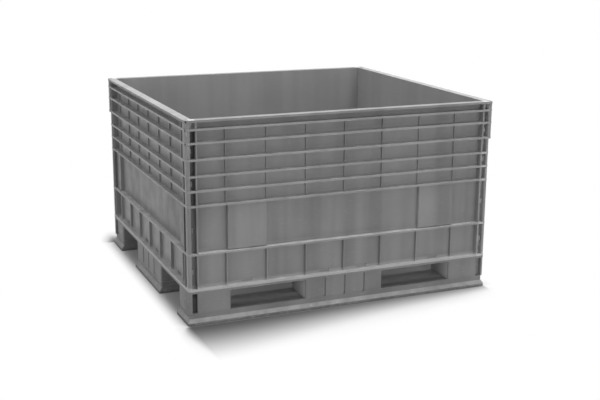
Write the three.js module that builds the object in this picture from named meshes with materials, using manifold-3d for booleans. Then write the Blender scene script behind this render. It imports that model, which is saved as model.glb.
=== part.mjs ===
// A rigid bulk bin for picked fruit and grapes: a ribbed base on nine legs and three runners, with
// four wall panels that snap together at the corners and onto the base. Units are millimetres, +Z is
// up, the long walls run along X, and the origin is the middle of the footprint at ground level.
import * as THREE from "three";
import { mergeVertices } from "three/addons/utils/BufferGeometryUtils.js";
import Module from "manifold-3d";

// Overall size of the assembled bin
const binLength = 1219;
const binWidth = 1143;
const binHeight = 737;

// Clearances between pieces
const seatGap = 0.3;
const slideGap = 0.5;
const cutOverrun = 2;

// Wall section, measured inwards from the outermost face of the rim belt
const beltStep = 5;
const ribDepth = 26.5;
const skinThickness = 4.5;
const postInset = 1;

// Wall heights: how far the top face of each upper rib lies below the rim, then heights above the ground
const rimThickness = 8;
const ribThickness = 7;
const beltRibDrops = [30, 77.5, 135.5];
const lowerRibDrops = [194.5, 247, 300];
const bottomRibTop = 263.5;
const wallFootTop = 134.5;
const wallFootThickness = 8;

// Upright ribs between the horizontal ones, and the raised strips of the tall label band
const uprightPitch = 152.4;
const uprightThickness = 5;
const uprightRise = 5;
const footUprightRise = 10;
const padRise = 12;
const padDraft = 3;
const shortPadLength = 74;

// Corner column at each end of a long wall, and the grooves beside it
const postThickness = 12;
const postWall = 4;
const endPlateThickness = 5;
const ribCornerRadius = 12;
const longGrooveWidth = 20;
const shortGrooveWidth = 20;

// Snap hooks that hold a short wall in the slots of a long wall
const hookThickness = 5;
const hookHeight = 18;
const hookSetBack = 5;
const hookReach = 10;
const barbLength = 4;
const barbCatch = 3;

// Snap lugs that hold the walls down on the base
const lugLength = 38;
const lugHeight = 11;
const lugRise = 3.2;
const lugBayShare = 0.5;

// Base: flange under the walls, floor and its ribs
const flangeThickness = 7.5;
const floorTop = 154.5;
const floorThickness = 6;
const skirtThickness = 5;
const floorRibThickness = 4;
const floorRibPitch = 240;
const socketWall = 5;
const socketDepth = 16;

// Legs: their outer faces stand back from the rib line, and fork openings lie between them
const legInset = 6;
const cornerLegLength = 152;
const cornerLegWidth = 135;
const middleLegLength = 315;
const middleLegWidth = 361;
const legWall = 5;
const legTopThickness = 5;
const spigotInset = 7;
const legRecessDepth = 5;
const legRecessWidth = 9;
const legRecessPitch = 80;
const legCornerRadius = 6;

// Runners
const runnerHeight = 44;
const ledgeInset = 1;
const ledgeEdge = 12;
const ledgeHeight = 25;
const runnerMargin = 6;
const runnerWall = 7;
const runnerFloor = 6;
const runnerSocketDepth = 18;
const runnerCoreLength = 300;
const runnerCoreWidth = 180;

// Bolts that clamp a runner, a leg and the base together
const boltDiameter = 8;
const boltBoreGap = 0.3;
const boltHeadAcross = 13;
const boltHeadHeight = 5.5;
const boltSunk = 2;
const counterboreDiameter = 20;
const boltBossDiameter = 26;
const boltEndGap = 3;

// Facets of round work
const roundSteps = 8;
const filletSteps = 2;
const smallFilletSteps = 1;
const weldTolerance = 1e-4;

// Places that follow from the sizes above
const skinInner = ribDepth + skinThickness;
const wallFootBottom = wallFootTop - wallFootThickness;
const flangeTop = wallFootBottom - seatGap;
const flangeBottom = flangeTop - flangeThickness;
const floorBottom = floorTop - floorThickness;
const trayInset = skinInner + slideGap;
const legTop = flangeBottom - seatGap;
const legBottom = runnerHeight + seatGap;
const legFace = beltStep + legInset;
const postFace = beltStep + postInset;
const beltRibTops = beltRibDrops.map((drop) => binHeight - drop);
const lowerRibTops = [...lowerRibDrops.map((drop) => binHeight - drop), bottomRibTop];
const beltFloor = beltRibTops[beltRibTops.length - 1] - ribThickness / 2;
const grooveStart = postFace + postThickness;
const grooveEnd = grooveStart + longGrooveWidth;
const shortWallStart = skinInner + seatGap;
const shortGrooveEnd = shortWallStart + shortGrooveWidth;
const outerSpigotInset = trayInset + skirtThickness + slideGap - legFace;
const socketTop = flangeBottom + socketDepth;
const boltBore = boltDiameter + 2 * boltBoreGap;

const wasm = await Module();
wasm.setup();
const { Manifold, Mesh: SolidMesh } = wasm;

// A closed three.js geometry as a solid that can be joined and cut
function solidFrom(geometry) {
  const bare = geometry.index ? geometry.toNonIndexed() : geometry.clone();
  bare.deleteAttribute("normal");
  bare.deleteAttribute("uv");
  const merged = mergeVertices(bare, weldTolerance);
  return new Manifold(
    new SolidMesh({
      numProp: 3,
      vertProperties: new Float32Array(merged.attributes.position.array),
      triVerts: new Uint32Array(merged.index.array),
    }),
  );
}

// A solid as a three.js geometry with flat shading
function geometryFrom(solid) {
  const mesh = solid.getMesh();
  const points = new Float32Array(mesh.numVert * 3);
  for (let i = 0; i < mesh.numVert; i++) {
    for (let axis = 0; axis < 3; axis++) {
      points[i * 3 + axis] = mesh.vertProperties[i * mesh.numProp + axis];
    }
  }
  const indexed = new THREE.BufferGeometry();
  indexed.setAttribute("position", new THREE.BufferAttribute(points, 3));
  indexed.setIndex(new THREE.BufferAttribute(mesh.triVerts, 1));
  const flat = indexed.toNonIndexed();
  flat.computeVertexNormals();
  return flat;
}

// All of a list of solids joined into one
function join(solids) {
  return solids.reduce((whole, next) => whole.add(next));
}

// A solid with each of a list of solids cut away
function cut(solid, tools) {
  return tools.length ? solid.subtract(join(tools)) : solid;
}

// A box between two values on each axis
function box([x0, x1], [y0, y1], [z0, z1]) {
  const geometry = new THREE.BoxGeometry(x1 - x0, y1 - y0, z1 - z0);
  geometry.translate((x0 + x1) / 2, (y0 + y1) / 2, (z0 + z1) / 2);
  return solidFrom(geometry);
}

// An outline drawn in X and Y, raised between two heights
function prism(shape, [z0, z1], curveSegments = filletSteps) {
  const geometry = new THREE.ExtrudeGeometry(shape, {
    depth: z1 - z0,
    bevelEnabled: false,
    curveSegments,
  });
  geometry.translate(0, 0, z0);
  return solidFrom(geometry);
}

// A block whose convex outline changes between two heights; both outlines have as many points
function flare(low, high, [z0, z1]) {
  const ring = (shape, z) => {
    const points = shape.getPoints(filletSteps);
    if (points[0].equals(points[points.length - 1])) points.pop();
    return points.map(({ x, y }) => [x, y, z]);
  };
  const corners = [...ring(low, z0), ...ring(high, z1)];
  const count = corners.length / 2;
  const triangles = [];
  for (let i = 0; i < count; i++) {
    const next = (i + 1) % count;
    triangles.push(i, next, count + next, i, count + next, count + i);
    if (i > 0 && next > 0) triangles.push(0, next, i, count, count + i, count + next);
  }
  const geometry = new THREE.BufferGeometry();
  geometry.setAttribute("position", new THREE.Float32BufferAttribute(corners.flat(), 3));
  geometry.setIndex(triangles);
  return solidFrom(geometry);
}

// An upright cylinder
function post(x, y, diameter, [z0, z1]) {
  const radius = diameter / 2;
  const geometry = new THREE.CylinderGeometry(radius, radius, z1 - z0, roundSteps);
  geometry.rotateX(Math.PI / 2);
  geometry.translate(x, y, (z0 + z1) / 2);
  return solidFrom(geometry);
}

// A rectangle in X and Y whose four corners have their own radii, anticlockwise from the low corner
function roundedRectangle([x0, x1], [y0, y1], [r0, r1, r2, r3]) {
  const shape = new THREE.Shape();
  shape.moveTo(x0 + r0, y0);
  shape.lineTo(x1 - r1, y0);
  if (r1) shape.absarc(x1 - r1, y0 + r1, r1, -Math.PI / 2, 0);
  shape.lineTo(x1, y1 - r2);
  if (r2) shape.absarc(x1 - r2, y1 - r2, r2, 0, Math.PI / 2);
  shape.lineTo(x0 + r3, y1);
  if (r3) shape.absarc(x0 + r3, y1 - r3, r3, Math.PI / 2, Math.PI);
  shape.lineTo(x0, y0 + r0);
  if (r0) shape.absarc(x0 + r0, y0 + r0, r0, Math.PI, Math.PI * 1.5);
  return shape;
}

// A rectangle at one depth that tapers to a smaller one at another: x and z spans, then y from and to
function taperedBlock([x0, x1], [z0, z1], [yWide, yNarrow], draft) {
  const wide = [[x0, z0], [x1, z0], [x1, z1], [x0, z1]];
  const narrow = [
    [x0 + draft, z0 + draft],
    [x1 - draft, z0 + draft],
    [x1 - draft, z1 - draft],
    [x0 + draft, z1 - draft],
  ];
  const corners = [
    ...wide.map(([x, z]) => [x, yWide, z]),
    ...narrow.map(([x, z]) => [x, yNarrow, z]),
  ];
  const faces = [[3, 2, 1, 0], [4, 5, 6, 7], [0, 1, 5, 4], [1, 2, 6, 5], [2, 3, 7, 6], [3, 0, 4, 7]];
  const triangles = faces.flatMap(([a, b, c, d]) => [a, b, c, a, c, d]);
  if (yNarrow > yWide) triangles.reverse();
  const geometry = new THREE.BufferGeometry();
  geometry.setAttribute("position", new THREE.Float32BufferAttribute(corners.flat(), 3));
  geometry.setIndex(triangles);
  return solidFrom(geometry);
}

// Both mirror images of something that takes a side of -1 or +1
function bothSides(make) {
  return [-1, 1].flatMap((side) => make(side));
}

// An ordered span on the given side of the middle, from distances off the middle
function sideSpan(side, near, far) {
  return side > 0 ? [near, far] : [-far, -near];
}

// Rib bands of a wall, from the foot up: each is the clear height between two horizontal ribs
const ribTops = [wallFootTop, ...lowerRibTops.slice().reverse(), ...beltRibTops.slice().reverse()];
const bands = ribTops.map((top, i) => {
  const next = ribTops[i + 1];
  return [top, next === undefined ? binHeight - rimThickness : next - ribThickness];
});
const labelBand = bands[1];
const hookedBands = bands.filter((band, i) => i === 0 || i % 2 === 1).slice(0, -1);

// Heights of the corner hooks: one in the middle of each hooked band
const hookHeights = hookedBands.map(([low, high]) => (low + high) / 2);

// Upright ribs that fit on each side of a wall's middle, short of the groove at its end
const longWallUprights = Math.floor((binLength / 2 - grooveEnd) / uprightPitch);
const shortWallUprights = Math.floor((binWidth / 2 - shortGrooveEnd) / uprightPitch);

// Lug positions along a wall, measured from its middle: in its innermost and outermost bays
function lugPlaces(uprightCount) {
  const bays = [lugBayShare, uprightCount - lugBayShare];
  return bothSides((side) => bays.map((bay) => side * bay * uprightPitch));
}

// Wall panels are drawn with X along the wall, Y inwards from the belt's outer face and Z up.

// The two tiers of a wall: how far each stands back from the belt's face, and its heights
const tiers = [
  { face: beltStep, heights: [wallFootBottom, beltFloor] },
  { face: 0, heights: [beltFloor, binHeight - rimThickness / 2] },
];

// Horizontal ribs of a panel: the rim, the belt that stands proud, the lower ribs and the foot
function horizontalRibs(halfLength, wrapsCorner) {
  const plate = (edge, top, thickness) => {
    const reach = wrapsCorner ? halfLength - edge : halfLength;
    const radius = wrapsCorner ? ribCornerRadius : 0;
    const outline = roundedRectangle([-reach, reach], [edge, skinInner], [radius, radius, 0, 0]);
    return prism(outline, [top - thickness, top]);
  };
  return [
    plate(0, binHeight, rimThickness),
    ...beltRibTops.map((top) => plate(0, top, ribThickness)),
    ...lowerRibTops.map((top) => plate(beltStep, top, ribThickness)),
    plate(beltStep, wallFootTop, wallFootThickness),
  ];
}

// Upright ribs in every band but the label band and the narrow one under the rim, standing higher in
// the band at the foot
function uprightRibs(uprightCount) {
  const half = uprightThickness / 2;
  const ribbed = bands.slice(0, -1).filter((band) => band !== labelBand);
  const places = [];
  for (let i = -uprightCount; i <= uprightCount; i++) places.push(i * uprightPitch);
  return places.flatMap((x) =>
    ribbed.map(([low, high]) => {
      const rise = low < labelBand[0] ? footUprightRise : uprightRise;
      return box([x - half, x + half], [ribDepth - rise, ribDepth + skinThickness / 2],
        [low - ribThickness / 2, high + ribThickness / 2]);
    }),
  );
}

// One raised strip of the label band: the skin steps outwards with the same thickness
function raisedStrip(span) {
  const [low, high] = labelBand;
  const inner = [span[0] + skinThickness, span[1] - skinThickness];
  const innerHeight = [low + skinThickness, high - skinThickness];
  const outward = taperedBlock(span, labelBand, [ribDepth + skinThickness / 2, ribDepth - padRise], padDraft);
  const hollow = taperedBlock(inner, innerHeight, [skinInner + cutOverrun, skinInner - padRise], padDraft);
  return { outward, hollow };
}

// A flat panel with its ribs, before its ends are made
function ribbedPanel(halfLength, wrapsCorner, uprightCount, strips) {
  const skinReach = wrapsCorner ? halfLength - postFace : halfLength;
  const skin = box([-skinReach, skinReach], [ribDepth, skinInner], [wallFootBottom, binHeight]);
  const raised = strips.map(raisedStrip);
  const body = join([
    skin,
    ...horizontalRibs(halfLength, wrapsCorner),
    ...uprightRibs(uprightCount),
    ...raised.map((strip) => strip.outward),
  ]);
  const lugWindows = lugPlaces(uprightCount).map((x) =>
    box([x - lugLength / 2 - slideGap, x + lugLength / 2 + slideGap],
      [ribDepth - cutOverrun, skinInner + cutOverrun],
      [wallFootTop, wallFootTop + lugHeight + 2 * slideGap]),
  );
  return cut(body, [...raised.map((strip) => strip.hollow), ...lugWindows]);
}

// Corner column of a long wall, with a rounded nose, and the rib that ends the groove beside it
function cornerColumn(side, halfLength) {
  const noseRadius = ribCornerRadius - postInset;
  const nose = side < 0 ? [noseRadius, 0, 0, 0] : [0, noseRadius, 0, 0];
  const ribSpan = sideSpan(side, halfLength - grooveEnd - uprightThickness, halfLength - grooveEnd);
  return tiers.flatMap(({ face, heights }) => {
    const columnSpan = sideSpan(side, halfLength - grooveStart, halfLength - face - postInset);
    return [
      prism(roundedRectangle(columnSpan, [face + postInset, skinInner], nose), heights),
      box(ribSpan, [face + postInset, ribDepth + skinThickness / 2], heights),
    ];
  });
}

// The room inside a corner column, open towards the short wall
function columnCore(side, halfLength) {
  return box(
    sideSpan(side, halfLength - grooveStart + postWall, halfLength - postFace - postWall),
    [postFace + postWall, skinInner + cutOverrun],
    [wallFootBottom - cutOverrun, binHeight - rimThickness],
  );
}

// A long wall: it covers the corners, and its skin has a slot for each hook of the short walls
function longWall() {
  const half = binLength / 2;
  const count = longWallUprights;
  const strips = bothSides((side) => [sideSpan(side, (count - 1) * uprightPitch, count * uprightPitch)]);
  const columns = bothSides((side) => cornerColumn(side, half));
  const cores = bothSides((side) => [columnCore(side, half)]);
  const slots = bothSides((side) =>
    hookHeights.map((z) =>
      box(
        sideSpan(side, half - hookPlace.far - slideGap, half - hookPlace.near + slideGap),
        [ribDepth - cutOverrun, skinInner + cutOverrun],
        [z - hookHeight / 2 - slideGap * 2, z + hookHeight / 2 + slideGap * 2],
      ),
    ),
  );
  return cut(join([ribbedPanel(half, true, count, strips), ...columns]), [...cores, ...slots]);
}

// Hook section as it lies in the corner, measured from the end of the long wall
const hookPlace = {
  near: ribDepth - hookSetBack,
  far: ribDepth - hookSetBack + hookThickness,
};

// One snap hook at the end of a short wall: a tongue and a wedge-shaped barb behind the slot's edge
function snapHook(side, halfLength, z) {
  const rootY = [hookPlace.near, hookPlace.far];
  const tongueEnd = halfLength + seatGap + skinThickness + slideGap + barbLength;
  const shape = new THREE.Shape();
  const barbStart = tongueEnd - barbLength;
  shape.moveTo(halfLength - endPlateThickness / 2, rootY[0]);
  shape.lineTo(tongueEnd + hookReach / 2, rootY[0]);
  shape.lineTo(tongueEnd + hookReach / 2, rootY[0] + hookThickness / 2);
  shape.lineTo(tongueEnd, rootY[1] + barbCatch);
  shape.lineTo(barbStart, rootY[1] + barbCatch);
  shape.lineTo(barbStart, rootY[1]);
  shape.lineTo(halfLength - endPlateThickness / 2, rootY[1]);
  shape.closePath();
  const hook = prism(shape, [z - hookHeight / 2, z + hookHeight / 2]);
  return side > 0 ? hook : hook.mirror([1, 0, 0]);
}

// A short wall: it stands between the long walls, with an end plate and a row of hooks at each end
function shortWall() {
  const half = binWidth / 2 - shortWallStart;
  const stripEnd = binWidth / 2 - shortGrooveEnd - uprightThickness / 2;
  const strips = bothSides((side) => [sideSpan(side, stripEnd - shortPadLength, stripEnd)]);
  const grooveRib = [binWidth / 2 - shortGrooveEnd - uprightThickness, binWidth / 2 - shortGrooveEnd];
  const full = [wallFootBottom, binHeight - rimThickness / 2];
  const ends = bothSides((side) => [
    box(sideSpan(side, half - endPlateThickness, half), [hookPlace.near - hookSetBack, skinInner], full),
    ...tiers.map(({ face, heights }) =>
      box(sideSpan(side, ...grooveRib), [face + postInset, skinInner - skinThickness / 2], heights)),
    ...hookHeights.map((z) => snapHook(side, half, z)),
  ]);
  return join([ribbedPanel(half, false, shortWallUprights, strips), ...ends]);
}

// Leg footprints: where each sits on the base, its size, and which of its sides face outwards
const legRowsX = [
  { name: "left", middle: -(binLength / 2 - legFace - cornerLegLength / 2), length: cornerLegLength, out: -1 },
  { name: "middle", middle: 0, length: middleLegLength, out: 0 },
  { name: "right", middle: binLength / 2 - legFace - cornerLegLength / 2, length: cornerLegLength, out: 1 },
];
const legRowsY = [
  { name: "front", middle: -(binWidth / 2 - legFace - cornerLegWidth / 2), width: cornerLegWidth, out: -1 },
  { name: "centre", middle: 0, width: middleLegWidth, out: 0 },
  { name: "back", middle: binWidth / 2 - legFace - cornerLegWidth / 2, width: cornerLegWidth, out: 1 },
];
const legs = legRowsY.flatMap((row) =>
  legRowsX.map((column) => ({
    name: `leg_${row.name}_${column.name}`,
    x: column.middle,
    y: row.middle,
    length: column.length,
    width: row.width,
    outX: column.out,
    outY: row.out,
  })),
);

// The span of a leg's spigots on one axis, grown by a clearance: further in on an outer side
function spigotSpan(size, out, grow, growOut = grow) {
  const low = out < 0 ? outerSpigotInset - growOut : spigotInset - grow;
  const high = out > 0 ? outerSpigotInset - growOut : spigotInset - grow;
  return [-size / 2 + low, size / 2 - high];
}

// A span moved along its axis
function shift(span, place) {
  return span.map((value) => value + place);
}

// Shallow upright recesses down the outer face of a leg
function legRecesses(leg) {
  const heights = [legBottom - cutOverrun, legTop + cutOverrun];
  const along = (size) => {
    const count = size > 2 * legRecessPitch ? 1 : 0;
    const places = [];
    for (let i = -count; i <= count; i++) places.push(i * legRecessPitch);
    return count ? places : [];
  };
  const halfWidth = legRecessWidth / 2;
  const cuts = [];
  if (leg.outY) {
    const face = (leg.width / 2) * leg.outY;
    const depth = [face - legRecessDepth, face + legRecessDepth];
    along(leg.length).forEach((x) => cuts.push(box([x - halfWidth, x + halfWidth], depth, heights)));
  }
  if (leg.outX) {
    const face = (leg.length / 2) * leg.outX;
    const depth = [face - legRecessDepth, face + legRecessDepth];
    along(leg.width).forEach((y) => cuts.push(box(depth, [y - halfWidth, y + halfWidth], heights)));
  }
  return cuts;
}

// The corner column carried on down a corner leg: a rounded nose with a groove on either side of it
function cornerLegNose(leg) {
  const endX = leg.length / 2 + legFace;
  const endY = leg.width / 2 + legFace;
  const noseX = sideSpan(leg.outX, endX - grooveStart, endX - postFace);
  const noseY = sideSpan(leg.outY, endY - skinInner, endY - postFace);
  const radius = ribCornerRadius - postInset;
  const corners = [[-1, -1], [1, -1], [1, 1], [-1, 1]];
  const radii = corners.map(([x, y]) => (x === leg.outX && y === leg.outY ? radius : 0));
  const root = box(
    sideSpan(leg.outX, endX - legFace - legRecessWidth - legWall, endX - postFace - postWall),
    sideSpan(leg.outY, endY - skinInner, endY - legFace - legRecessWidth),
    [legBottom, legTop],
  );
  const nose = prism(roundedRectangle(noseX, noseY, radii), [legBottom, legTop]);
  const over = [legBottom - cutOverrun, legTop + cutOverrun];
  const grooves = [
    box(
      sideSpan(leg.outX, endX - grooveEnd, endX - grooveStart),
      sideSpan(leg.outY, endY - legFace - legRecessWidth, endY),
      over,
    ),
    box(
      sideSpan(leg.outX, endX - legFace - legRecessWidth, endX),
      sideSpan(leg.outY, endY - shortGrooveEnd, endY - skinInner),
      over,
    ),
  ];
  return { nose: nose.add(root), grooves };
}

// A leg: a box open below, with spigots that plug into the base and the runner, and a bolt tube
function makeLeg(leg) {
  const radii = [legCornerRadius, legCornerRadius, legCornerRadius, legCornerRadius];
  const outline = roundedRectangle([-leg.length / 2, leg.length / 2], [-leg.width / 2, leg.width / 2], radii);
  const spigotTop = socketTop - seatGap;
  const spigotBottom = legBottom - runnerSocketDepth + seatGap;
  const block = prism(outline, [legBottom, legTop], smallFilletSteps);
  const spigot = box(
    spigotSpan(leg.length, leg.outX, 0),
    spigotSpan(leg.width, leg.outY, 0),
    [spigotBottom, spigotTop],
  );
  const hollow = box(
    spigotSpan(leg.length, leg.outX, -legWall),
    spigotSpan(leg.width, leg.outY, -legWall),
    [spigotBottom - cutOverrun, spigotTop - legTopThickness],
  );
  const faceDepth = legRecessWidth + legWall;
  const coreHeights = [legBottom - cutOverrun, legTop - legTopThickness];
  const cores = [];
  if (leg.outY) {
    cores.push(box(
      spigotSpan(leg.length, leg.outX, -legWall),
      sideSpan(leg.outY, leg.width / 2 - outerSpigotInset, leg.width / 2 - faceDepth),
      coreHeights,
    ));
  }
  if (leg.outX) {
    cores.push(box(
      sideSpan(leg.outX, leg.length / 2 - outerSpigotInset, leg.length / 2 - faceDepth),
      spigotSpan(leg.width, leg.outY, -legWall),
      coreHeights,
    ));
  }
  const corner = leg.outX && leg.outY ? cornerLegNose(leg) : null;
  const grooves = corner ? corner.grooves : legRecesses(leg);
  const shell = cut(block.add(spigot), [hollow, ...cores, ...grooves]);
  const tube = post(0, 0, boltBossDiameter, [spigotBottom, spigotTop]);
  const web = box([-legWall / 2, legWall / 2], spigotSpan(leg.width, leg.outY, -legWall / 2),
    [spigotBottom, spigotTop]);
  const bore = post(0, 0, boltBore, [spigotBottom - cutOverrun, spigotTop + cutOverrun]);
  return cut(join([shell, ...(corner ? [corner.nose] : []), tube, web]), [bore]);
}

// The base: a flange for the walls, the floor, its ribs, and a socket for each leg
function baseDeck() {
  const outerX = binLength / 2 - beltStep;
  const outerY = binWidth / 2 - beltStep;
  const trayX = binLength / 2 - trayInset;
  const trayY = binWidth / 2 - trayInset;
  const radii = [ribCornerRadius, ribCornerRadius, ribCornerRadius, ribCornerRadius];
  const flange = prism(roundedRectangle([-outerX, outerX], [-outerY, outerY], radii),
    [flangeBottom, flangeTop]);
  const tray = box([-trayX, trayX], [-trayY, trayY], [flangeBottom, floorTop]);
  const hollow = box(
    [-trayX + skirtThickness, trayX - skirtThickness],
    [-trayY + skirtThickness, trayY - skirtThickness],
    [flangeBottom - cutOverrun, floorBottom],
  );
  const ribHeights = [flangeBottom, floorBottom + floorThickness / 2];
  const ribsAlong = (reach, make) => {
    const count = Math.floor(reach / floorRibPitch);
    const ribs = [];
    for (let i = -count; i <= count; i++) ribs.push(make(i * floorRibPitch));
    return ribs;
  };
  const half = floorRibThickness / 2;
  const ribs = [
    ...ribsAlong(trayX - skirtThickness, (x) =>
      box([x - half, x + half], [-trayY + skirtThickness / 2, trayY - skirtThickness / 2], ribHeights)),
    ...ribsAlong(trayY - skirtThickness, (y) =>
      box([-trayX + skirtThickness / 2, trayX - skirtThickness / 2], [y - half, y + half], ribHeights)),
  ];
  const ring = (leg, grow, intoSkirt, heights) => box(
    shift(spigotSpan(leg.length, leg.outX, grow, slideGap + intoSkirt), leg.x),
    shift(spigotSpan(leg.width, leg.outY, grow, slideGap + intoSkirt), leg.y),
    heights,
  );
  const frames = legs.map((leg) => ring(leg, slideGap + socketWall, skirtThickness / 3, ribHeights));
  const rooms = legs.map((leg) =>
    ring(leg, slideGap, skirtThickness, [flangeBottom - cutOverrun, floorBottom]));
  const bosses = legs.map((leg) =>
    post(leg.x, leg.y, boltBossDiameter, [socketTop, floorBottom + floorThickness / 2]));
  const holes = legs.map((leg) => post(leg.x, leg.y, boltBore, [socketTop - cutOverrun, floorBottom]));
  const shell = cut(join([flange, tray]), [hollow]);
  const framed = cut(join([...ribs, ...frames]), rooms);
  const lugs = [
    ...lugPlaces(longWallUprights).flatMap((x) => bothSides((side) => [baseLug(x, side, trayY, false)])),
    ...lugPlaces(shortWallUprights).flatMap((y) => bothSides((side) => [baseLug(y, side, trayX, true)])),
  ];
  return cut(join([shell, framed, ...bosses, ...lugs]), holes);
}

// One snap lug on the rim of the floor: a wedge that fills a window in the wall's skin
function baseLug(place, side, face, onShortSide) {
  const low = wallFootTop + slideGap;
  const high = low + lugHeight;
  const shape = new THREE.Shape();
  shape.moveTo(face - skirtThickness / 2, low);
  shape.lineTo(face + lugRise, low);
  shape.lineTo(face + lugRise, low + lugHeight / 3);
  shape.lineTo(face + lugRise / 4, high);
  shape.lineTo(face - skirtThickness / 2, high);
  shape.closePath();
  const geometry = new THREE.ExtrudeGeometry(shape, { depth: lugLength, bevelEnabled: false });
  geometry.translate(0, 0, -lugLength / 2);
  geometry.rotateX(Math.PI / 2);
  geometry.rotateZ(onShortSide ? (side > 0 ? 0 : Math.PI) : (side * Math.PI) / 2);
  geometry.translate(onShortSide ? 0 : place, onShortSide ? place : 0, 0);
  return solidFrom(geometry);
}

// A runner: a rail with a sloping ledge at its foot, cored from below, and a cup for each leg's spigot
function makeRunner(row) {
  const legRow = legs.filter((leg) => leg.y === row.middle);
  const outside = legFace - ledgeInset;
  const growFront = row.out < 0 ? outside : runnerMargin;
  const growBack = row.out > 0 ? outside : runnerMargin;
  const footX = [-binLength / 2 + ledgeInset, binLength / 2 - ledgeInset];
  const footY = [-row.width / 2 - growFront, row.width / 2 + growBack];
  const frontRadius = row.out < 0 ? ribCornerRadius : runnerMargin;
  const backRadius = row.out > 0 ? ribCornerRadius : runnerMargin;
  const footOutline = roundedRectangle(footX, footY, [frontRadius, frontRadius, backRadius, backRadius]);
  const railX = [-binLength / 2 + legFace, binLength / 2 - legFace];
  const railRadii = [legCornerRadius, legCornerRadius, legCornerRadius, legCornerRadius];
  const railOutline = roundedRectangle(railX, [-row.width / 2, row.width / 2], railRadii);
  const rail = prism(railOutline, [0, runnerHeight], smallFilletSteps);
  const foot = join([prism(footOutline, [0, ledgeEdge]), flare(footOutline, railOutline, [ledgeEdge, ledgeHeight])]);
  const socketFloor = runnerHeight - runnerSocketDepth;
  const aroundSpigots = (grow, heights) => legRow.map((leg) =>
    box(shift(spigotSpan(leg.length, leg.outX, grow), leg.x), spigotSpan(leg.width, leg.outY, grow), heights));
  const sockets = aroundSpigots(slideGap, [socketFloor, runnerHeight + cutOverrun]);
  const cups = aroundSpigots(runnerWall, [socketFloor - runnerFloor, runnerHeight]);
  const cores = [];
  const rows = Math.max(1, Math.round(row.width / runnerCoreWidth));
  const cellWidth = (row.width - runnerWall) / rows;
  const columns = Math.round(binLength / runnerCoreLength);
  const cellLength = (railX[1] - railX[0] - runnerWall) / columns;
  for (let i = 0; i < columns; i++) {
    for (let j = 0; j < rows; j++) {
      const x0 = railX[0] + runnerWall + i * cellLength;
      const y0 = -row.width / 2 + runnerWall + j * cellWidth;
      cores.push(box([x0, x0 + cellLength - runnerWall], [y0, y0 + cellWidth - runnerWall],
        [-cutOverrun, runnerHeight - runnerFloor]));
    }
  }
  const bossDiameter = counterboreDiameter + 2 * runnerWall;
  const bosses = legRow.map((leg) => post(leg.x, 0, bossDiameter, [0, socketFloor]));
  const counterbores = legRow.map((leg) =>
    post(leg.x, 0, counterboreDiameter, [-cutOverrun, boltSeat]));
  const bores = legRow.map((leg) => post(leg.x, 0, boltBore, [-cutOverrun, runnerHeight]));
  const body = cut(join([foot, rail]), cores);
  return cut(join([body, ...cups, ...bosses]), [...sockets, ...counterbores, ...bores]);
}

// Height of the face that a bolt head pulls against
const boltSeat = boltSunk + boltHeadHeight + seatGap;

// A bolt with its hexagon head at the bottom and its tip up in the base
function makeBolt() {
  const seat = boltSeat - seatGap;
  const radius = boltHeadAcross / Math.sqrt(3);
  const head = new THREE.CylinderGeometry(radius, radius, boltHeadHeight, 6);
  head.rotateX(Math.PI / 2);
  head.translate(0, 0, seat - boltHeadHeight / 2);
  const shank = post(0, 0, boltDiameter, [seat - boltHeadHeight / 2, floorBottom - boltEndGap]);
  return solidFrom(head).add(shank);
}

// Materials
const plasticGrey = { color: 0x8b8d8e, roughness: 0.5, metalness: 0 };
const baseGrey = { color: 0x848687, roughness: 0.55, metalness: 0 };
const runnerGrey = { color: 0x7b7d7e, roughness: 0.6, metalness: 0 };
const zincSteel = { color: 0xb4b6b8, roughness: 0.35, metalness: 1 };

const bin = new THREE.Group();

// Adds one named piece to the bin
function addPiece(name, geometry, look, place = [0, 0, 0], turn = 0) {
  const mesh = new THREE.Mesh(geometry, new THREE.MeshStandardMaterial(look));
  mesh.name = name;
  mesh.position.set(...place);
  mesh.rotation.z = turn;
  bin.add(mesh);
}

const longWallGeometry = geometryFrom(longWall());
addPiece("front_wall", longWallGeometry, plasticGrey, [0, -binWidth / 2, 0], 0);
addPiece("back_wall", longWallGeometry.clone(), plasticGrey, [0, binWidth / 2, 0], Math.PI);

const shortWallGeometry = geometryFrom(shortWall());
addPiece("left_wall", shortWallGeometry, plasticGrey, [-binLength / 2, 0, 0], -Math.PI / 2);
addPiece("right_wall", shortWallGeometry.clone(), plasticGrey, [binLength / 2, 0, 0], Math.PI / 2);

addPiece("base_deck", geometryFrom(baseDeck()), baseGrey);

legs.forEach((leg) => addPiece(leg.name, geometryFrom(makeLeg(leg)), baseGrey, [leg.x, leg.y, 0]));

legRowsY.forEach((row) =>
  addPiece(`runner_${row.name}`, geometryFrom(makeRunner(row)), runnerGrey, [0, row.middle, 0]));

const boltGeometry = geometryFrom(makeBolt());
legs.forEach((leg) =>
  addPiece(leg.name.replace("leg", "bolt"), boltGeometry.clone(), zincSteel, [leg.x, leg.y, 0]));

export default bin;
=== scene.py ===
import math

import bpy
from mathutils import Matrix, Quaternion, Vector


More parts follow.
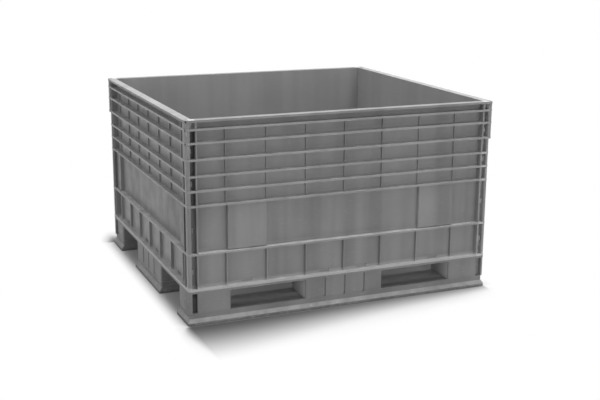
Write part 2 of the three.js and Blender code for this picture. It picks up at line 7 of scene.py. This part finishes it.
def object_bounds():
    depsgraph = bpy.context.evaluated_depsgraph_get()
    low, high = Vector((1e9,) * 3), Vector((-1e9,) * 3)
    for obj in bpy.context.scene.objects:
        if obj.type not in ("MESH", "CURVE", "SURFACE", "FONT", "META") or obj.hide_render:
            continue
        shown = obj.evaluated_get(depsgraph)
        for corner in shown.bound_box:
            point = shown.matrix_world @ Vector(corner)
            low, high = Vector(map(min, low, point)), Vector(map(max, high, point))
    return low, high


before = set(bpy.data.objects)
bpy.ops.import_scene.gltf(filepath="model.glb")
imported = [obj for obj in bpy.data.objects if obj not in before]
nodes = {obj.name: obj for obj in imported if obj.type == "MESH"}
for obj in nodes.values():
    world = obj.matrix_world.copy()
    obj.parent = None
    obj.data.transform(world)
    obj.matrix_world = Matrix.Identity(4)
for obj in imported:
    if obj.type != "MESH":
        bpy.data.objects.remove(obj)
cad_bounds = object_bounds()


# Camera
# It stands where the photographer stood: to the left of the bin's front, nearly twice as high as the
# rim, and near enough for the long edges to draw together. It is rolled by less than half a degree.
MM = 0.001
camera_place = Vector((-1617, -3949, 1353)) * MM
camera_yaw = math.radians(67.04)
camera_pitch = math.radians(-14.20)
camera_roll = math.radians(0.38)
photo_width = 600
focal_pixels = 1056.9
sensor_width = 36

camera_data = bpy.data.cameras.new("camera")
camera_data.sensor_width = sensor_width
camera_data.lens = focal_pixels / photo_width * sensor_width
camera = bpy.data.objects.new("camera", camera_data)
camera.location = camera_place
camera_aim = Vector((
    math.cos(camera_yaw) * math.cos(camera_pitch),
    math.sin(camera_yaw) * math.cos(camera_pitch),
    math.sin(camera_pitch),
))
level_turn = camera_aim.to_track_quat("-Z", "Y")
camera.rotation_euler = (level_turn @ Quaternion((0, 0, 1), camera_roll)).to_euler()
bpy.context.scene.collection.objects.link(camera)
bpy.context.scene.camera = camera
bpy.context.scene.view_settings.view_transform = "Standard"


# Studio floor
# A sheet of matte white paper. Under the bin and along its long sides, most of all towards the left,
# its colour is painted grey as shade, where it also keeps the bin's own shadow, and a little further
# out it turns plain white. Under the bin, away from its ends, a faint painted glow lies on it.
def linear(hex_colour):
    """An sRGB hex colour as a linear RGBA value."""
    shares = [int(hex_colour[i:i + 2], 16) / 255 for i in (1, 3, 5)]
    return tuple(s / 12.92 if s <= 0.04045 else ((s + 0.055) / 1.055) ** 2.4 for s in shares) + (1.0,)


def new_material(name):
    """An empty node material and its tree."""
    material = bpy.data.materials.new(name)
    material.use_nodes = True
    material.node_tree.nodes.clear()
    return material, material.node_tree


def add_node(tree, kind, inputs=(), output=0, **settings):
    """Adds a node with its settings, fills or links its inputs, and gives one of its outputs, if any.

    Inputs come in their order, or by number or name. A Mix node's inputs are 0 for the share, 2 and 3
    for two numbers, and 6 and 7 for two colours, whose mixture is its output 2.
    """
    node = tree.nodes.new("ShaderNode" + kind)
    for name, value in settings.items():
        setattr(node, name, value)
    for key, value in inputs.items() if isinstance(inputs, dict) else enumerate(inputs):
        if isinstance(value, bpy.types.NodeSocket):
            tree.links.new(value, node.inputs[key])
        else:
            node.inputs[key].default_value = value
    return node.outputs[output] if node.outputs else None


def from_ends(tree, place):
    """How far a point lies in from the bin's outermost faces, along its length and its width."""
    apart = add_node(tree, "SeparateXYZ", (place,)).node.outputs
    insets = []
    for axis, edge in zip("XY", cad_bounds[1]):
        from_middle = add_node(tree, "Math", (apart[axis],), operation="ABSOLUTE")
        insets.append(add_node(tree, "Math", (edge, from_middle), operation="SUBTRACT"))
    return insets


def background_rays(tree):
    """1 for the rays that show the background: straight from the camera, mirrored, or through glass."""
    rays = add_node(tree, "LightPath").node.outputs
    bent = add_node(tree, "Math", (rays["Is Glossy Ray"], rays["Is Transmission Ray"]), operation="MAXIMUM")
    return add_node(tree, "Math", (rays["Is Camera Ray"], bent), operation="MAXIMUM")


floor_reach = 40
floor_corners = [(x * floor_reach, y * floor_reach, 0) for x, y in ((-1, -1), (1, -1), (1, 1), (-1, 1))]
floor_mesh = bpy.data.meshes.new("studio_floor")
floor_mesh.from_pydata(floor_corners, [], [(0, 1, 2, 3)])
floor = bpy.data.objects.new("studio_floor", floor_mesh)
bpy.context.scene.collection.objects.link(floor)

# The painted shade is laid out from lines that run 10 mm in from the bin's outermost faces.
shade_inset = 10 * MM
paper, tree = new_material("studio_paper")
floor_place = add_node(tree, "TexCoord", output="Object")
past_end, past_side = [
    add_node(tree, "Math", (shade_inset, inset), operation="SUBTRACT")
    for inset in from_ends(tree, floor_place)]
sideways = add_node(tree, "Math", (past_end, 0.0), operation="MAXIMUM")
outwards = add_node(tree, "Math", (past_side, 0.0), operation="MAXIMUM")
floor_x = add_node(tree, "SeparateXYZ", (floor_place,), "X")
floor_y = add_node(tree, "SeparateXYZ", (floor_place,), "Y")
behind = add_node(tree, "Math", (floor_y, 0.0), operation="GREATER_THAN")

# Out from the long sides it thins slowly at the left of the front, faster at the right, where it also
# starts weaker, and faster still behind the bin.
left_thinning, right_thinning, back_thinning = 0.9, 1.6, 1.5
right_loss = 130 * MM
rightness_curve = 1.5
left_line, right_line = cad_bounds[0][0] + shade_inset, cad_bounds[1][0] - shade_inset
rightness = add_node(tree, "MapRange", (floor_x, left_line, right_line))
lit_share = add_node(tree, "Math", (rightness, rightness_curve), operation="POWER")
front_thinning = add_node(
    tree, "Math", (lit_share, right_thinning, left_thinning), operation="MULTIPLY_ADD")
thinning = add_node(tree, "Math", (behind, back_thinning, front_thinning), operation="MULTIPLY_ADD")
thinned = add_node(tree, "Math", (outwards, thinning), operation="MULTIPLY")
ahead = add_node(tree, "Math", (lit_share, right_loss, thinned), operation="MULTIPLY_ADD")

# Past the ends it is soon lost, a little later further out from the long sides and behind.
end_thinning = 4.0
end_loss = 180 * MM
end_width, end_widening, back_end_width = 14 * MM, 1.1, 35 * MM
front_flank = add_node(tree, "Math", (outwards, end_widening, end_width), operation="MULTIPLY_ADD")
flank = add_node(tree, "Math", (behind, back_end_width, front_flank), operation="MULTIPLY_ADD")
lost = add_node(tree, "MapRange", (sideways, 0.0, flank, 0.0, end_loss), interpolation_type="SMOOTHSTEP")
beside = add_node(tree, "Math", (sideways, end_thinning, lost), operation="MULTIPLY_ADD")
away = add_node(tree, "Math", (ahead, beside), operation="ADD")

# Its painted grey turns to the paper's tone and that to plain white, each over its own distances. Under
# the bin both stay nearly even, but for the ends; away from the ends a faint painted glow lies there.
under_paleness = 0.8
under_glow = 0.075
turns = {}
for name, value, low, high, start, end in (
        ("open", outwards, 0.0, 15 * MM, 0.0, 1.0),
        ("paper", away, 0.0, 330 * MM, 0.0, 1.0),
        ("paper_at_ends", past_end, -70 * MM, 35 * MM, 0.0, 1.0),
        ("white", away, 200 * MM, 500 * MM, 0.0, 1.0),
        ("white_at_ends", past_end, -5 * MM, 65 * MM, 0.0, 1.0),
        ("glow", past_end, -120 * MM, -70 * MM, under_glow, 0.0)):
    turns[name] = add_node(
        tree, "MapRange", (value, low, high, start, end), interpolation_type="SMOOTHSTEP")
under_pale = add_node(tree, "Math", (turns["paper_at_ends"], under_paleness), operation="MAXIMUM")
under_white = add_node(tree, "Math", (turns["white_at_ends"], turns["glow"]), operation="MAXIMUM")
paleness = add_node(tree, "Mix", {0: turns["open"], 2: under_pale, 3: turns["paper"]})
whiteness = add_node(tree, "Mix", {0: turns["open"], 2: under_white, 3: turns["white"]})

# Only the rays that show the floor see the painted shade and glow: the bin is lit by plain paper.
paper_white = linear("#F4F4F4")
seen = background_rays(tree)
shade = add_node(tree, "Mix", {0: paleness, 6: linear("#646464"), 7: paper_white}, 2, data_type="RGBA")
shown = add_node(tree, "Mix", {0: seen, 6: paper_white, 7: shade}, 2, data_type="RGBA")
fade = add_node(tree, "Math", (whiteness, seen), operation="MULTIPLY")
matte = add_node(tree, "BsdfDiffuse", {"Color": shown})
white = add_node(tree, "Emission", {"Color": linear("#FFFFFF"), "Strength": 1.0})
blend = add_node(tree, "MixShader", (fade, matte, white))
add_node(tree, "OutputMaterial", {"Surface": blend})
floor.data.materials.append(paper)


# Studio light
# The room is a soft dome, dimmer on the left, with a plain white background. One large soft box hangs
# over the bin, so that flat tops are the brightest faces. Two weaker ones stand low before the long
# wall and to the left of the short one, and show the ribs.
world = bpy.data.worlds.new("studio")
world.use_nodes = True
bpy.context.scene.world = world
tree = world.node_tree
tree.nodes.clear()
dim_side, bright_side = -0.9, 0.5
dim_strength, bright_strength = 0.16, 0.46
direction = add_node(tree, "TexCoord", output="Generated")
to_right = add_node(tree, "SeparateXYZ", (direction,), "X")
strength = add_node(tree, "MapRange", (to_right, dim_side, bright_side, dim_strength, bright_strength),
                    interpolation_type="SMOOTHSTEP")
room = add_node(tree, "Background", {"Color": linear("#FFFFFF"), "Strength": strength})
white = add_node(tree, "Background", {"Color": linear("#FFFFFF"), "Strength": 1.0})
blend = add_node(tree, "MixShader", (background_rays(tree), room, white))
add_node(tree, "OutputWorld", {"Surface": blend})

for name, stand, aim, width, height, watts in (
        ("overhead_box", (0.5, -0.2, 4.0), (0.0, 0.0, 0.3), 3.2, 3.2, 170),
        ("front_box", (1.2, -4.6, 0.75), (0.0, 0.0, 0.4), 3.2, 1.2, 28),
        ("left_box", (-4.2, -1.6, 2.1), (0.0, 0.0, 0.4), 4.2, 2.6, 42)):
    lamp_data = bpy.data.lights.new(name, "AREA")
    lamp_data.shape = "RECTANGLE"
    lamp_data.size = width
    lamp_data.size_y = height
    lamp_data.energy = watts
    lamp = bpy.data.objects.new(name, lamp_data)
    lamp.location = stand
    lamp.rotation_euler = (Vector(aim) - Vector(stand)).to_track_quat("-Z", "Y").to_euler()
    bpy.context.scene.collection.objects.link(lamp)


def round_edges(piece, radius):
    """Rounds the edges of a moulding, which catch the light, after joining its flat facets."""
    weld = piece.modifiers.new("weld", "WELD")
    weld.merge_threshold = 0.02 * MM
    flat = piece.modifiers.new("flat_faces", "DECIMATE")
    flat.decimate_type = "DISSOLVE"
    flat.angle_limit = math.radians(1)
    edges = piece.modifiers.new("round_edges", "BEVEL")
    edges.width = radius
    edges.segments = 2
    edges.limit_method = "ANGLE"
    edges.angle_limit = math.radians(35)
    edges.use_clamp_overlap = True
    edges.harden_normals = True


def dress(names, material, radius=0.0):
    """Gives carried-over nodes a material and, where it has a radius, rounded edges."""
    for name in names:
        nodes[name].data.materials.clear()
        nodes[name].data.materials.append(material)
        if radius:
            round_edges(nodes[name], radius)


def bounded(tree, share, *bounds):
    """A share of dirt, wear, painted light or painted shade, times a strength that changes smoothly
    at each bound.

    A bound is a value, the two limits that it passes, and the strengths at the first and the second.
    """
    for bound in bounds:
        strength = add_node(tree, "MapRange", bound, interpolation_type="SMOOTHSTEP")
        share = add_node(tree, "Math", (share, strength), operation="MULTIPLY")
    return share


def coated(tree, colour, *coats):
    """A plastic's colour under its coats. A coat is the share that it hides and its own colour."""
    for share, coat in coats:
        colour = add_node(tree, "Mix", {0: share, 6: colour, 7: coat}, 2, data_type="RGBA")
    return colour


def in_grooves(tree, place):
    """1 in the narrow upright grooves beside the corner columns, and in those below them in the legs."""
    near, far = 17 * MM, 39 * MM
    mouth, bottom = 2 * MM, 28 * MM
    along, inwards = from_ends(tree, place)
    inside = 1.0
    for value, operation, limit in (
            (along, "GREATER_THAN", near), (along, "LESS_THAN", far),
            (inwards, "GREATER_THAN", mouth), (inwards, "LESS_THAN", bottom)):
        within = add_node(tree, "Math", (value, limit), operation=operation)
        inside = add_node(tree, "Math", (inside, within), operation="MULTIPLY")
    return inside


rim_pocket_low, rim_pocket_high = 700 * MM, 706 * MM


def groove_painted_shade(tree, place, shallow, low_share, high_share, change):
    """Painted shade deep in the grooves, from the left fading out towards the right, with one share below
    a height and one above it.

    It starts at a depth from the outermost face, and ends close under the rim.
    """
    deepening = 8 * MM
    middle_reach = 300 * MM
    change_reach = 12 * MM
    inwards = from_ends(tree, place)[1]
    apart = add_node(tree, "SeparateXYZ", (place,)).node.outputs
    return bounded(
        tree, in_grooves(tree, place),
        (inwards, shallow, shallow + deepening, 0.0, 1.0),
        (apart["X"], -middle_reach, middle_reach, 1.0, 0.0),
        (apart["Z"], rim_pocket_low, rim_pocket_high, 1.0, 0.0),
        (apart["Z"], change - change_reach, change + change_reach, low_share, high_share))


# Nearly all of a noise lies between these values.
noise_low, noise_high = 0.3, 0.7


def ledge_dust_and_top_light(tree, place, rim_share):
    """Dust in patches on faces that look up, which also stands in as painted light from above.

    Stacked bins scrape it off the rim, crops off the floor inside, and splashes off what is near
    the ground.
    """
    patch_width = 40 * MM
    sloping, level = 0.35, 0.9
    rim_low, rim_high = 715 * MM, 730 * MM
    ledge_inset, floor_inset, floor_share = 27 * MM, 35 * MM, 0.22
    ground_low, ground_high, ground_share = 30 * MM, 60 * MM, 0.6
    thin_share = 0.55
    normal = add_node(tree, "NewGeometry", output="Normal")
    upward = add_node(tree, "SeparateXYZ", (normal,), "Z")
    height = add_node(tree, "SeparateXYZ", (place,), "Z")
    inset = add_node(tree, "Math", from_ends(tree, place), operation="MINIMUM")
    patches = add_node(tree, "TexNoise", {"Vector": place, "Scale": 1 / patch_width, "Detail": 4.0})
    return bounded(
        tree, 1.0,
        (upward, sloping, level, 0.0, 1.0),
        (height, rim_low, rim_high, 1.0, rim_share),
        (inset, ledge_inset, floor_inset, 1.0, floor_share),
        (height, ground_low, ground_high, ground_share, 1.0),
        (patches, noise_low, noise_high, thin_share, 1.0))


def moulded_plastic(tree, deep_hex, pale_hex, wear_hex, streaks, scuffs, rim_share=0.6):
    """The colour, scuffs and bump that the grey mouldings share, and the place that they are made from.

    The melt has left broad clouds and upright flow streaks, and use has left level scuffs. The skin has
    slow sink marks and an orange peel. Real peel is about 1 mm across, too fine to show in the render,
    so it is drawn 3 mm across.
    """
    cloud_width, sink_width, peel_width = 165 * MM, 60 * MM, 3 * MM
    streak_width, streak_height = 90 * MM, 1800 * MM
    scuff_length, scuff_height = 28 * MM, 7 * MM
    streak_low, streak_high = 0.35, 0.68
    scuff_low, scuff_high = 0.6, 0.78
    sink_depth, peel_depth = 1.2 * MM, 0.2 * MM
    bump_strength = 0.3
    pale_ledges_top, grey_ledges_foot = 280 * MM, 430 * MM
    place = add_node(tree, "TexCoord", output="Object")
    height = add_node(tree, "SeparateXYZ", (place,), "Z")
    clouds = add_node(tree, "TexNoise", {"Vector": place, "Scale": 1 / cloud_width, "Detail": 3.0})
    streak_place = add_node(tree, "Mapping", {
        "Vector": place, "Scale": (1 / streak_width, 1 / streak_width, 1 / streak_height)})
    flow = add_node(tree, "TexNoise", {"Vector": streak_place, "Scale": 1.0, "Detail": 2.0})
    scuff_place = add_node(tree, "Mapping", {
        "Vector": place, "Scale": (1 / scuff_length, 1 / scuff_length, 1 / scuff_height)})
    marks = add_node(tree, "TexNoise", {"Vector": scuff_place, "Scale": 1.0, "Detail": 5.0})
    rubbed = bounded(tree, 1.0, (marks, scuff_low, scuff_high, 0.0, scuffs))
    # Dust on faces that look up is also painted light from above, paler on the lower ledges.
    high_up = bounded(tree, 1.0, (height, pale_ledges_top, grey_ledges_foot, 0.0, 1.0))
    dust_and_top_light = coated(tree, linear("#E4E4E4"), (high_up, linear("#C8C8C8")))
    colour = coated(
        tree, linear(deep_hex),
        (bounded(tree, 1.0, (clouds, noise_low, noise_high, 0.0, 1.0)), linear(pale_hex)),
        (bounded(tree, 1.0, (flow, streak_low, streak_high, 0.0, streaks)), linear(wear_hex)),
        (rubbed, linear(wear_hex)),
        (ledge_dust_and_top_light(tree, place, rim_share), dust_and_top_light))
    sink = add_node(tree, "TexNoise", {"Vector": place, "Scale": 1 / sink_width})
    peel = add_node(tree, "TexNoise", {"Vector": place, "Scale": 1 / peel_width})
    waves = add_node(tree, "Bump", {"Height": sink, "Strength": bump_strength, "Distance": sink_depth})
    normal = add_node(tree, "Bump", {
        "Height": peel, "Strength": bump_strength, "Distance": peel_depth, "Normal": waves})
    return place, colour, rubbed, normal


def plastic_shader(tree, place, colour, rubbed, normal, patch_width, glossiest, dullest, rubbed_extra):
    """A moulding's surface. Its roughness changes in patches and is more on its scuffs, and a dusty film
    takes half of a clean plastic's shine."""
    patches = add_node(tree, "TexNoise", {"Vector": place, "Scale": 1 / patch_width, "Detail": 3.0})
    skin = add_node(tree, "MapRange", (patches, noise_low, noise_high, glossiest, dullest),
                    interpolation_type="SMOOTHSTEP")
    roughness = add_node(tree, "Math", (rubbed, rubbed_extra, skin), operation="MULTIPLY_ADD")
    shader = add_node(tree, "BsdfPrincipled", {
        "Base Color": colour, "Roughness": roughness, "IOR": 1.5, "Specular IOR Level": 0.25,
        "Normal": normal})
    add_node(tree, "OutputMaterial", {"Surface": shader})


def tunnel_painted_light(tree, place, share):
    """A share of painted light in the fork tunnels: all that lies in from the outer faces, fading up under
    the floor.
    """
    deck_low, deck_high, deck_share = 110 * MM, 135 * MM, 0.25
    end_near, end_far = 150 * MM, 165 * MM
    side_near, side_far = 14 * MM, 22 * MM
    along, inwards = from_ends(tree, place)
    height = add_node(tree, "SeparateXYZ", (place,), "Z")
    return bounded(
        tree, share,
        (height, deck_low, deck_high, 1.0, deck_share),
        (along, end_near, end_far, 0.0, 1.0),
        (inwards, side_near, side_far, 0.0, 1.0))


def scuffed_base_plastic():
    """Dull, rubbed plastic with many short pale marks, painted paler still inside the fork tunnels as
    light, and painted dark as shade in the leg grooves.
    """
    material, tree = new_material("scuffed_moulded_polyethylene")
    place, colour, rubbed, normal = moulded_plastic(
        tree, deep_hex="#717171", pale_hex="#7A7A7A", wear_hex="#ADADAD", streaks=0.15, scuffs=0.5)
    # Painted shade deep in the leg grooves.
    groove_shade = groove_painted_shade(tree, place, shallow=11 * MM, low_share=0.75, high_share=0.97, change=100 * MM)
    colour = coated(
        tree, colour,
        # Painted light in the fork tunnels.
        (tunnel_painted_light(tree, place, share=0.8), linear("#D4D4D4")),
        (groove_shade, linear("#1E1E1E")))
    plastic_shader(tree, place, colour, rubbed, normal,
                   patch_width=45 * MM, glossiest=0.44, dullest=0.58, rubbed_extra=0.25)
    return material


base_edge_radius = 1.5 * MM
dress([name for name in nodes if name == "base_deck" or name.startswith("leg_")],
      scuffed_base_plastic(), base_edge_radius)


# Runners
# Three moulded rails are bolted under the legs. They drag over concrete and earth, so they are the
# roughest and dirtiest pieces, with a dark tide line near the ground. Their tops are painted dark as
# shade along the outer edge and pale as light further in.
def worn_runner_plastic():
    """Matte, scratched plastic.

    It is darkest near the ground, where wet earth clings. Along the outer edge of its top it is painted
    dark as shade, and further in it is painted pale as light.
    """
    sloping, level = 0.3, 0.8
    top_low, top_high = 32 * MM, 38 * MM
    ripple_width, ripple_height = 17 * MM, 4 * MM
    tide_low, tide_high, tide_share = 2 * MM, 11 * MM, 0.55
    top_shade_near, top_shade_far, top_shade_share = 20 * MM, 80 * MM, 0.7
    top_light_near, top_light_far, top_light_share = 40 * MM, 100 * MM, 0.8
    material, tree = new_material("worn_moulded_polyethylene")
    place, colour, rubbed, normal = moulded_plastic(
        tree, deep_hex="#707070", pale_hex="#797979", wear_hex="#B2B2B1", streaks=0.1, scuffs=0.6)
    inwards = from_ends(tree, place)[1]
    height = add_node(tree, "SeparateXYZ", (place,), "Z")
    face_normal = add_node(tree, "NewGeometry", output="Normal")
    upward = add_node(tree, "SeparateXYZ", (face_normal,), "Z")
    ripples = add_node(tree, "TexNoise", {"Vector": place, "Scale": 1 / ripple_width, "Detail": 4.0})
    swing = add_node(tree, "MapRange", (ripples, noise_low, noise_high, -ripple_height, ripple_height),
                     interpolation_type="SMOOTHSTEP")
    ragged_height = add_node(tree, "Math", (height, swing), operation="ADD")
    tide = bounded(tree, 1.0, (ragged_height, tide_low, tide_high, tide_share, 0.0))
    top = bounded(tree, 1.0, (upward, sloping, level, 0.0, 1.0), (height, top_low, top_high, 0.0, 1.0))
    # Painted shade along the outer edge of the top, and painted light further in.
    painted_top_shade = bounded(tree, top, (inwards, top_shade_near, top_shade_far, top_shade_share, 0.0))
    painted_top_light = bounded(tree, top, (inwards, top_light_near, top_light_far, 0.0, top_light_share))
    tide_and_top_shade = add_node(tree, "Math", (tide, painted_top_shade), operation="MAXIMUM")
    colour = coated(
        tree, colour,
        # Painted light in the fork tunnels.
        (tunnel_painted_light(tree, place, share=0.6), linear("#C0C0C0")),
        (painted_top_light, linear("#E8E8E8")),
        (tide_and_top_shade, linear("#4A4A4A")))
    plastic_shader(tree, place, colour, rubbed, normal,
                   patch_width=45 * MM, glossiest=0.5, dullest=0.62, rubbed_extra=0.2)
    return material


runner_edge_radius = 2.0 * MM
dress([name for name in nodes if name.startswith("runner_")], worn_runner_plastic(), runner_edge_radius)


# Bolts
# Nine hexagon-head bolts of zinc-plated steel clamp runners, legs and base. They show only from below
# the runners.
def zinc_material():
    """Zinc plate: a bright metal that blurs what it mirrors and varies a little in tone.

    Its crystals are far too fine to show in the render, so they are drawn 0.8 mm across.
    """
    crystal_width = 0.8 * MM
    material, tree = new_material("zinc_plated_steel")
    place = add_node(tree, "TexCoord", output="Object")
    grain = add_node(tree, "TexNoise", {"Vector": place, "Scale": 1 / crystal_width, "Detail": 2.0})
    tint = add_node(tree, "ValToRGB", (grain,))
    for element, tone in zip(tint.node.color_ramp.elements, ("#A9ABAC", "#C9CBCB")):
        element.color = linear(tone)
    shader = add_node(tree, "BsdfPrincipled", {"Base Color": tint, "Metallic": 1.0, "Roughness": 0.35})
    add_node(tree, "OutputMaterial", {"Surface": shader})
    return material


dress([name for name in nodes if name.startswith("bolt_")], zinc_material())


# Wall panels
# The four walls are moulded from the same polyethylene as the base and snap together at the corners.
# Their skin is satin. Dust lies on the ledges, also painted light from above. Painted light lies on the
# ribbed bands, on the inner faces, just above each ledge and in the open grooves, and rib fronts are
# rubbed pale and painted as highlights. Painted shade lies deep in the narrow grooves beside the
# corner columns at the left, and the short walls are painted darker as shade.
def groove_painted_light(tree, place):
    """Painted light in the grooves where they lie open to the light: at the right, and under the rim."""
    right_near, right_far, right_share = 300 * MM, 560 * MM, 0.45
    rim_pocket_share = 0.9
    apart = add_node(tree, "SeparateXYZ", (place,)).node.outputs
    at_right = bounded(tree, 1.0, (apart["X"], right_near, right_far, 0.0, right_share))
    under_rim = bounded(tree, 1.0, (apart["Z"], rim_pocket_low, rim_pocket_high, 0.0, rim_pocket_share))
    open_share = add_node(tree, "Math", (at_right, under_rim), operation="MAXIMUM")
    return add_node(tree, "Math", (in_grooves(tree, place), open_share), operation="MULTIPLY")


def band_painted_light(tree, place, axis, outer_share, inner_share):
    """Painted light on the outside of a wall, lightening all but its plain band, and another share inside.

    The axis is the one that the wall stands across. Its inner faces look back towards the middle.
    """
    inner_limit = -200 * MM
    plain_low_start, plain_low_end = 255 * MM, 270 * MM
    plain_high_start, plain_high_end = 425 * MM, 450 * MM
    apart = add_node(tree, "SeparateXYZ", (place,)).node.outputs
    normal = add_node(tree, "NewGeometry", output="Normal")
    facing = add_node(tree, "SeparateXYZ", (normal,), axis)
    outward = add_node(tree, "Math", (facing, apart[axis]), operation="MULTIPLY")
    inner = add_node(tree, "Math", (outward, inner_limit), operation="LESS_THAN")
    plain_band = bounded(
        tree, 1.0,
        (apart["Z"], plain_low_start, plain_low_end, 0.0, 1.0),
        (apart["Z"], plain_high_start, plain_high_end, 1.0, 0.0))
    outer = add_node(tree, "Math", (plain_band, -outer_share, outer_share), operation="MULTIPLY_ADD")
    return add_node(tree, "Mix", {0: inner, 2: outer, 3: inner_share})


def rib_marks(tree, place, ledge_light_share, rub_and_highlight_share):
    """Painted light on the skin just above each ledge, and the front of each rib below it, rubbed pale
    and painted as a highlight.
    """
    ledge_heights = (134.5, 263.5, 437, 490, 542.5, 601.5, 659.5, 707)
    ledge_light_height = 18 * MM
    rib_low, rib_high = 10 * MM, 5 * MM
    front_inset, skin_near, skin_far = 8 * MM, 20 * MM, 29 * MM
    height = add_node(tree, "SeparateXYZ", (place,), "Z")
    inset = add_node(tree, "Math", from_ends(tree, place), operation="MINIMUM")
    ledge_light, rub_and_highlight = 0.0, 0.0
    for ledge in [ledge_height * MM for ledge_height in ledge_heights]:
        above = add_node(tree, "Math", (height, ledge), operation="GREATER_THAN")
        below = add_node(tree, "Math", (1.0, above), operation="SUBTRACT")
        fading = bounded(tree, above, (height, ledge, ledge + ledge_light_height, 1.0, 0.0))
        worn_and_lit = bounded(tree, below, (height, ledge - rib_low, ledge - rib_high, 0.0, 1.0))
        ledge_light = add_node(tree, "Math", (ledge_light, fading), operation="MAXIMUM")
        rub_and_highlight = add_node(tree, "Math", (rub_and_highlight, worn_and_lit), operation="MAXIMUM")
    outer_side = add_node(tree, "Math", (inset, skin_far), operation="LESS_THAN")
    on_skin = bounded(tree, outer_side, (inset, front_inset, skin_near, 0.0, ledge_light_share))
    lit_skin = add_node(tree, "Math", (ledge_light, on_skin), operation="MULTIPLY")
    in_front = add_node(tree, "Math", (inset, front_inset), operation="LESS_THAN")
    rubbed_and_lit_front = add_node(tree, "Math", (in_front, rub_and_highlight_share), operation="MULTIPLY")
    rubbed = add_node(tree, "Math", (rub_and_highlight, rubbed_and_lit_front), operation="MULTIPLY")
    return add_node(tree, "Math", (lit_skin, rubbed), operation="MAXIMUM")


def satin_wall_plastic(name, deep_hex, pale_hex, axis, outer_painted_light, inner_painted_light, rim_share):
    """Satin panels, whose fine peel spreads the light, darkest on their plain band, left out of the painted
    band light.
    """
    foot_low, foot_high, foot_share = 137 * MM, 145 * MM, 0.45
    material, tree = new_material(name)
    place, colour, rubbed, normal = moulded_plastic(
        tree, deep_hex, pale_hex, wear_hex="#B4B4B4", streaks=0.2, scuffs=0.12, rim_share=rim_share)
    height = add_node(tree, "SeparateXYZ", (place,), "Z")
    foot = bounded(tree, 1.0, (height, foot_low, foot_high, foot_share, 0.0))
    # Painted shade deep in the grooves beside the corner columns, at the left.
    groove_shade = groove_painted_shade(tree, place, shallow=15 * MM, low_share=0.0, high_share=0.52, change=437 * MM)
    colour = coated(
        tree, colour,
        (foot, linear("#C4C4C4")),
        # Painted light on the ribbed bands and on the inner faces.
        (band_painted_light(tree, place, axis, outer_painted_light, inner_painted_light), linear("#B4B4B4")),
        # Painted light just above each ledge; rib fronts rubbed pale and painted as highlights.
        (rib_marks(tree, place, ledge_light_share=0.3, rub_and_highlight_share=0.2), linear("#B4B4B4")),
        # Painted light in the grooves that lie open: at the right, and under the rim.
        (groove_painted_light(tree, place), linear("#C8C8C8")),
        (groove_shade, linear("#1E1E1E")))
    plastic_shader(tree, place, colour, rubbed, normal,
                   patch_width=55 * MM, glossiest=0.36, dullest=0.5, rubbed_extra=0.3)
    return material


wall_edge_radius = 2.2 * MM
dress(("front_wall", "back_wall"), satin_wall_plastic(
    "satin_moulded_polyethylene", deep_hex="#6F6F6F", pale_hex="#787878", axis="Y",
    outer_painted_light=0.07, inner_painted_light=0.34, rim_share=0.14), wall_edge_radius)
# The short walls are painted darker as shade, with more painted light on their ribbed bands, inner faces
# and rim.
dress(("left_wall", "right_wall"), satin_wall_plastic(
    "satin_moulded_polyethylene_painted_darker", deep_hex="#5E5E5E", pale_hex="#676767", axis="X",
    outer_painted_light=0.28, inner_painted_light=0.6, rim_share=0.45), wall_edge_radius)
